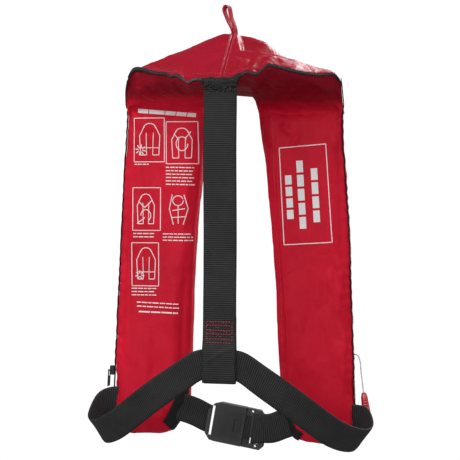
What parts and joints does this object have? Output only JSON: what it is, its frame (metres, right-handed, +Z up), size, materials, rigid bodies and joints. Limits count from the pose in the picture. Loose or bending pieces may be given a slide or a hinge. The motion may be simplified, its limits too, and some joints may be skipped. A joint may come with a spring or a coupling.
{
  "type": "inflatable life jacket",
  "caption": "Packed inflatable life jacket: two zipped lobes on a collar, back strap, waist belt with release buckle, gas inflator with pull toggle and oral tube inside.",
  "frame": {"origin": "on the mid-plane, level with the neck edge that carries the hanging loop, over the middle of the collar's depth", "axes": "+X to the wearer's right, +Y to the wearer's front, +Z up, with the jacket hanging by its loop"},
  "size_m": [0.3863, 0.1521, 0.5929],
  "materials": {
    "cover_fabric": "coated nylon, satin",
    "bladder_fabric": "coated nylon, satin",
    "reflective_tape": "bright retroreflective",
    "zip_tape": "black coil zip",
    "zip_metal": "dark",
    "loop_tape": "woven tape",
    "tube_rubber": "matt",
    "black_plastic": "moulded",
    "white_plastic": "moulded",
    "steel": "bright",
    "whistle_plastic": "gloss",
    "cord": "braided",
    "inflator_plastic": "satin",
    "red_plastic": "satin",
    "toggle_plastic": "gloss, slightly clear",
    "cylinder_paint": "satin grey",
    "red_thread": "thread",
    "buckle_plastic": "moulded",
    "webbing": "ribbed webbing"
  },
  "bodies": {
    "jacket": {"inner_panel_left": "cover_fabric", "inner_panel_right": "cover_fabric", "collar_top_cover": "cover_fabric", "collar_under_cover": "cover_fabric", "air_bladder": "bladder_fabric", "reflective_patches": "reflective_tape", "zip_chain_left": "zip_tape", "zip_chain_right": "zip_tape", "zip_chain_collar": "zip_tape", "oral_tube": "tube_rubber", "oral_valve_body": "black_plastic", "oral_valve_spring": "steel", "whistle_cord": "cord", "manifold_stem": "black_plastic", "manifold_nut": "steel", "inflator_body": "inflator_plastic", "lever_pin": "steel", "piercing_spring": "steel", "sensor_bobbin": "white_plastic", "waist_belt_left": "webbing", "waist_belt_right": "webbing", "belt_end_left": "webbing", "buckle_frame": "buckle_plastic", "buckle_spring": "steel"},
    "strap": {"back_strap": "webbing", "strap_stitching": "red_thread", "waist_belt_back": "webbing"},
    "flap_left": {"front_cover_left": "cover_fabric"},
    "flap_right": {"front_cover_right": "cover_fabric"},
    "slider": {"zip_slider": "zip_metal"},
    "pull_tab": {"zip_pull_tab": "zip_metal"},
    "loop": {"hang_loop": "loop_tape"},
    "oral_valve": {"oral_valve_poppet": "white_plastic"},
    "oral_cap": {"oral_dust_cap": "black_plastic"},
    "whistle": {"whistle": "whistle_plastic"},
    "lever": {"inflator_lever": "red_plastic"},
    "piercer": {"piercing_pin": "steel"},
    "sensor_cap": {"sensor_cap": "inflator_plastic"},
    "cylinder": {"gas_cylinder": "cylinder_paint"},
    "toggle": {"pull_toggle": "toggle_plastic", "pull_cord": "cord"},
    "tongue": {"buckle_tongue": "buckle_plastic", "belt_end_right": "webbing"},
    "button": {"buckle_button": "red_plastic"}
  },
  "joints": [
    {"name": "cover_left_open", "type": "hinge", "parent": "jacket", "child": "flap_left", "pos_m": [-0.045, 0.0835, -0.181], "axis": [0.0501, 0, 0.9987], "range_deg": [-95, 0]},
    {"name": "cover_right_open", "type": "hinge", "parent": "jacket", "child": "flap_right", "pos_m": [0.045, 0.0835, -0.181], "axis": [-0.0501, 0, 0.9987], "range_deg": [0, 95]},
    {"name": "zip_run", "type": "slide", "parent": "jacket", "child": "slider", "axis": [0.0452, 0, 0.999], "range_m": [0, 0.3]},
    {"name": "zip_pull_swing", "type": "hinge", "parent": "slider", "child": "pull_tab", "pos_m": [-0.1677, 0.0521, -0.44779], "axis": [0, 1, 0], "range_deg": [0, 70]},
    {"name": "hang_loop_swing", "type": "hinge", "parent": "jacket", "child": "loop", "pos_m": [0.0006, 0.035, 0.007], "axis": [1, 0, 0], "range_deg": [-60, 60]},
    {"name": "back_strap_swing", "type": "hinge", "parent": "jacket", "child": "strap", "pos_m": [0, -0.062, -0.0645], "axis": [1, 0, 0], "range_deg": [-12, 5]},
    {"name": "buckle_tongue_slide", "type": "slide", "parent": "jacket", "child": "tongue", "axis": [0.9863, 0, -0.165], "range_m": [0, 0.034]},
    {"name": "buckle_button_press", "type": "slide", "parent": "jacket", "child": "button", "axis": [0, -1, 0], "range_m": [0, 0.002], "stiffness_N_per_m": 400, "deforming": ["buckle_spring"]},
    {"name": "lever_pull", "type": "hinge", "parent": "jacket", "child": "lever", "pos_m": [0.1355, 0.065, -0.458], "axis": [0, 1, 0], "range_deg": [0, 30]},
    {"name": "piercing_pin_rise", "type": "slide", "parent": "jacket", "child": "piercer", "axis": [0, 0, 1], "range_m": [0, 0.0072], "deforming": ["piercing_spring"]},
    {"name": "toggle_pull", "type": "slide", "parent": "jacket", "child": "toggle", "axis": [0, 0, -1], "range_m": [0, 0.019]},
    {"name": "sensor_cap_unscrew", "type": "hinge", "parent": "jacket", "child": "sensor_cap", "pos_m": [0.118, 0.065, -0.48], "axis": [0, 0, 1], "continuous": true},
    {"name": "gas_cylinder_unscrew", "type": "hinge", "parent": "jacket", "child": "cylinder", "pos_m": [0.118, 0.065, -0.4], "axis": [0, 0, 1], "continuous": true},
    {"name": "oral_valve_press", "type": "slide", "parent": "jacket", "child": "oral_valve", "axis": [0, 0, -1], "range_m": [0, 0.003], "stiffness_N_per_m": 300, "deforming": ["oral_valve_spring"]},
    {"name": "oral_cap_open", "type": "hinge", "parent": "jacket", "child": "oral_cap", "pos_m": [-0.1245, 0.065, -0.1798], "axis": [0, 1, 0], "range_deg": [0, 100]},
    {"name": "whistle_swing", "type": "hinge", "parent": "jacket", "child": "whistle", "pos_m": [-0.136, 0.065, -0.332], "axis": [0, 1, 0], "range_deg": [-8, 8]}
  ],
  "couplings": [
    {"joint": "piercing_pin_rise", "follows": "lever_pull", "m_per_rad": 0.0135},
    {"joint": "toggle_pull", "follows": "lever_pull", "m_per_rad": 0.0355}
  ]
}
